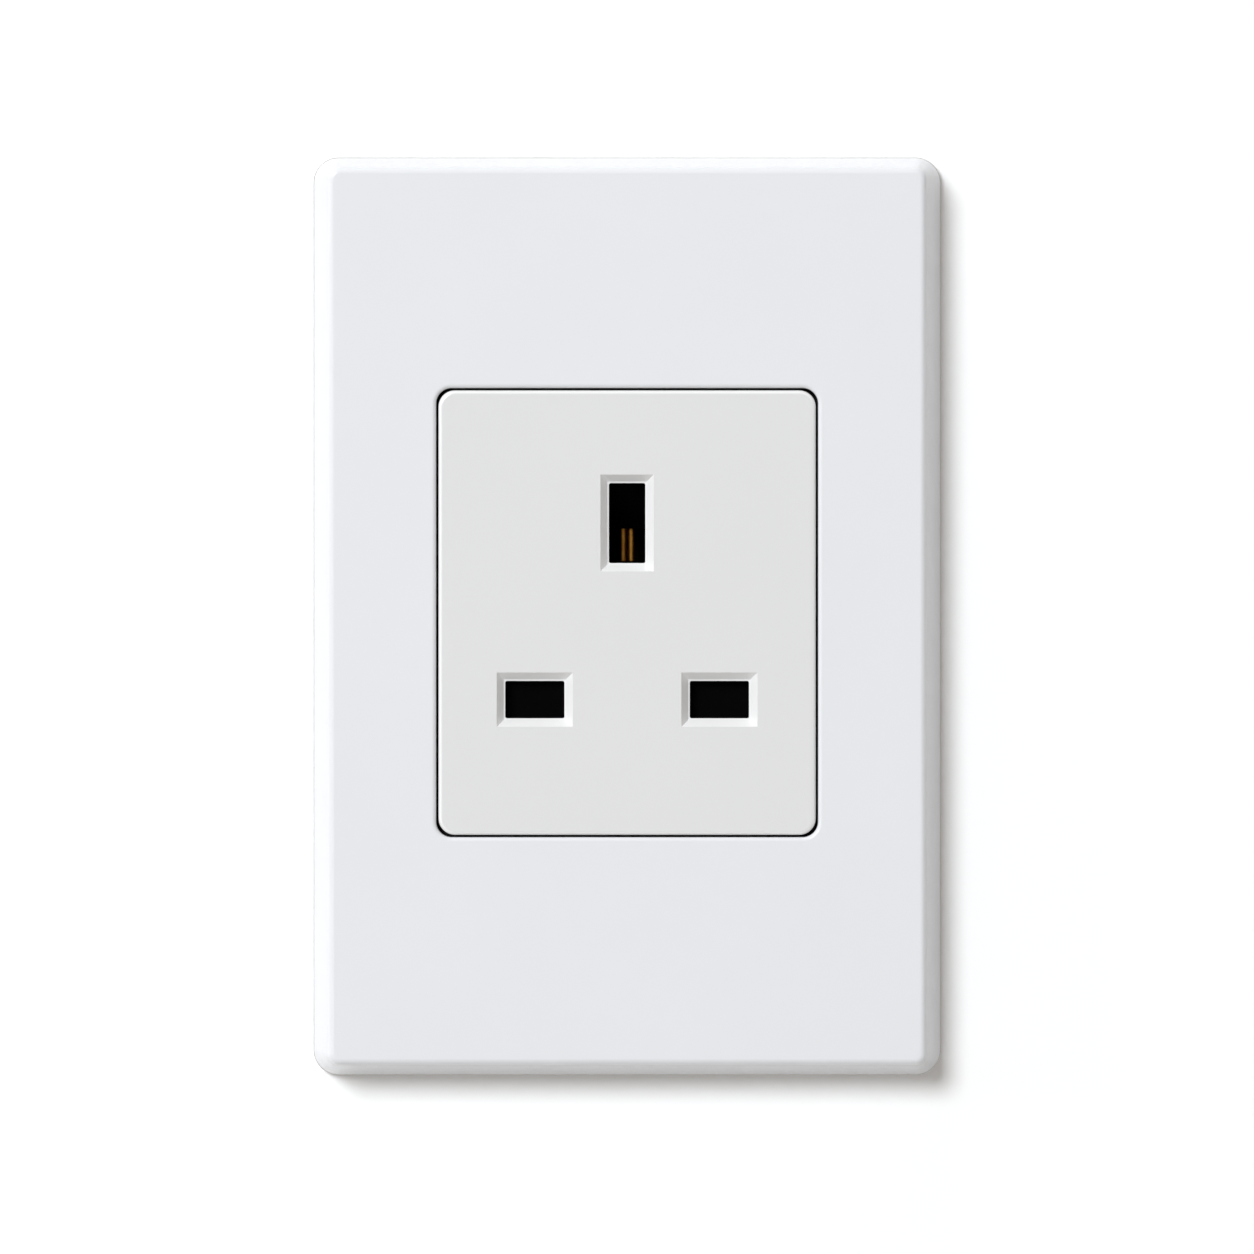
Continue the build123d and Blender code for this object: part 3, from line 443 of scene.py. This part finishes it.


# Shutter spring
# A compression spring of 0.4 mm hard-drawn wire between the ramp and the top of the housing. Its end coils lie
# closer together.
spring_tree, given = new_tree("compression spring", {
    "Radius": "Float", "Wire": "Float", "Turns": "Float", "Length": "Float", "Closing": "Float",
    "Base": "Vector", "Finish": "Material",
})
t = spring_tree
coil = add(
    t, "GeometryNodeCurveSpiral", Resolution=40, Rotations=given["Turns"], Start_Radius=given["Radius"],
    End_Radius=given["Radius"], Height=given["Length"],
).outputs[0]
height = add(t, "ShaderNodeSeparateXYZ", _0=add(t, "GeometryNodeInputPosition").outputs[0]).outputs["Z"]
share = add(t, "ShaderNodeMath", {"operation": "DIVIDE"}, _0=height, _1=given["Length"]).outputs[0]
angle = add(t, "ShaderNodeMath", {"operation": "MULTIPLY"}, _0=share, _1=2 * math.pi).outputs[0]
wave = add(t, "ShaderNodeMath", {"operation": "SINE"}, _0=angle).outputs[0]
reach = add(
    t, "ShaderNodeMath", {"operation": "MULTIPLY"}, _0=given["Closing"], _1=given["Length"]
).outputs[0]
shift = add(t, "ShaderNodeMath", {"operation": "MULTIPLY"}, _0=wave, _1=reach).outputs[0]
shift = add(t, "ShaderNodeMath", {"operation": "DIVIDE"}, _0=shift, _1=-2 * math.pi).outputs[0]
offset = add(t, "ShaderNodeCombineXYZ", Z=shift).outputs[0]
coil = add(t, "GeometryNodeSetPosition", _0=coil, Offset=offset).outputs[0]
half_wire = add(t, "ShaderNodeMath", {"operation": "DIVIDE"}, _0=given["Wire"], _1=2.0).outputs[0]
section = add(t, "GeometryNodeCurvePrimitiveCircle", Resolution=14, Radius=half_wire).outputs[0]
wound = add(t, "GeometryNodeCurveToMesh", Curve=coil, Profile_Curve=section, Fill_Caps=True).outputs[0]
wound = add(t, "GeometryNodeTransform", _0=wound, Translation=given["Base"]).outputs[0]
solid = add(t, "GeometryNodeRealizeInstances", _0=wound).outputs[0]
dressed = add(t, "GeometryNodeSetMaterial", _0=solid, Material=given["Finish"]).outputs[0]
add(t, "NodeGroupOutput", _0=dressed)

drawn_wire = plated("hard-drawn spring wire", colour="#a9a9ab", tint="#9a9a98", roughness=0.32)
coil_spring = new_piece("coil_spring", [(0, 0, 0)], [], drawn_wire)
grow(coil_spring, spring_tree, {
    "Radius": 0.0015, "Wire": 0.0004, "Turns": 6.0, "Length": 0.0088, "Closing": 0.68,
    "Base": [0.0, -0.0012, 0.01549], "Finish": drawn_wire,
})
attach(coil_spring, "root")
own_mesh(coil_spring)
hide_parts("shutter_spring")


# Front housing
# The face, the shoulder that rests on the frame and the neck are one moulding in a neutral white, satin urea.
# Each slot has a bevel with sharp mitres that leads the pin in. Edge roundings and bevels are painted a lighter
# tone than the flat face, as a painted highlight.
white_urea = moulded(
    "neutral white urea, satin", colour="#dcdcdc", shade="#dbdbdb",
    grain=0.0006, relief=0.0000002, roughness=0.2, gloss=0.65, edge_highlight="#ebebeb",
)
finish("socket_face", white_urea)


# Assembly screws
# Four pan-head screws with a coarse thread that cuts its own way into the bosses of the front housing.
assembly_spacing = 0.0361
assembly_height = 0.0443
assembly_screws = turned(
    "assembly_screws",
    [(0, -18), (0.5, -18), (1.05, -17), (1.05, 0), (2.6, 0), *arc((1.65, 0.95), 0.95, 0, 90), (0, 1.9)],
    bright_zinc,
)
grow(assembly_screws, screw_tree, {
    "Thread Radius": 0.0015, "Thread Depth": 0.00045, "Pitch": 0.0013, "Thread Top": -0.0004,
    "Thread Length": 0.0165, "Drive Top": 0.0019, "Drive Length": 0.0032, "Drive Width": 0.0009,
    "Drive Depth": 0.0011, "Cross": True, "Columns": 2, "Rows": 2, "Width": assembly_spacing,
    "Height": assembly_height, "Centre": [0.0, 0.0159, 0.00044], "Turn": [-math.pi / 2, 0.0, 0.0],
    "Finish": bright_zinc,
})
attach(assembly_screws, "root")
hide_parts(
    "assembly_screw_upper_right", "assembly_screw_upper_left",
    "assembly_screw_lower_right", "assembly_screw_lower_left",
)


# Cover plate
# A clip-on moulding in cool white polycarbonate with four sloping sides, a soft arris and a rounded opening
# round the module. It hides the frame and the fixing screws.
cool_white = moulded(
    "cool white polycarbonate, satin", colour="#e0e1e4", shade="#dfe0e3",
    grain=0.0006, relief=0.0000002, roughness=0.2, gloss=0.3,
)
finish("cover_plate", cool_white)


# Light and camera
# A broad softbox stands high on the left of the room, dim panels at the left and above graze the wall, and pale
# walls send back a slightly warmer, even light. The camera faces the plate squarely from far away.
photo_px = 1254
px_per_m = 8203.0
plate_px = Vector((627.1, 616.2))
lens = 600.0
sensor = 36.0
face_y = -0.008
distance = photo_px / px_per_m * lens / sensor

camera = bpy.data.objects.new("camera", bpy.data.cameras.new("camera"))
bpy.context.scene.collection.objects.link(camera)
camera.data.lens = lens
camera.data.sensor_width = sensor
camera.data.clip_start = 0.01
camera.data.clip_end = 10.0
camera.location = (
    (photo_px / 2 - plate_px.x) / px_per_m,
    face_y - distance,
    -(photo_px / 2 - plate_px.y) / px_per_m,
)
camera.rotation_euler = (math.pi / 2, 0, 0)
bpy.context.scene.camera = camera


def lamp(name, direction, reach, size, power, colour="#ffffff"):
    """A round lamp that faces the plate, with its distance and diameter in metres and its power in watts"""
    data = bpy.data.lights.new(name, "AREA")
    data.shape = "DISK"
    data.size = size
    data.energy = power
    data.color = linear(colour)[:3]
    made = bpy.data.objects.new(name, data)
    bpy.context.scene.collection.objects.link(made)
    made.location = Vector(direction).normalized() * reach
    made.rotation_euler = (-made.location).to_track_quat("-Z", "Y").to_euler()


lamp("key", (-0.42, -1.0, 0.42), reach=3.0, size=1.18, power=74.5, colour="#f7fbff")
lamp("panel_left", (-1.0, -0.24, 0.2), reach=3.0, size=0.9, power=12.5)
lamp("panel_top", (-0.2, -0.24, 1.0), reach=3.0, size=0.9, power=12.5)
lamp("back_left", (-0.6, 0.9, 0.7), reach=1.2, size=0.5, power=9.0)
lamp("back_right", (0.8, 1.0, 0.3), reach=1.3, size=0.5, power=6.0)

studio = bpy.data.worlds.new("studio")
bpy.context.scene.world = studio
studio.use_nodes = True
room = studio.node_tree.nodes["Background"]
room.inputs["Color"].default_value = linear("#fff8f0")
room.inputs["Strength"].default_value = 0.325
bpy.context.scene.view_settings.view_transform = "Standard"
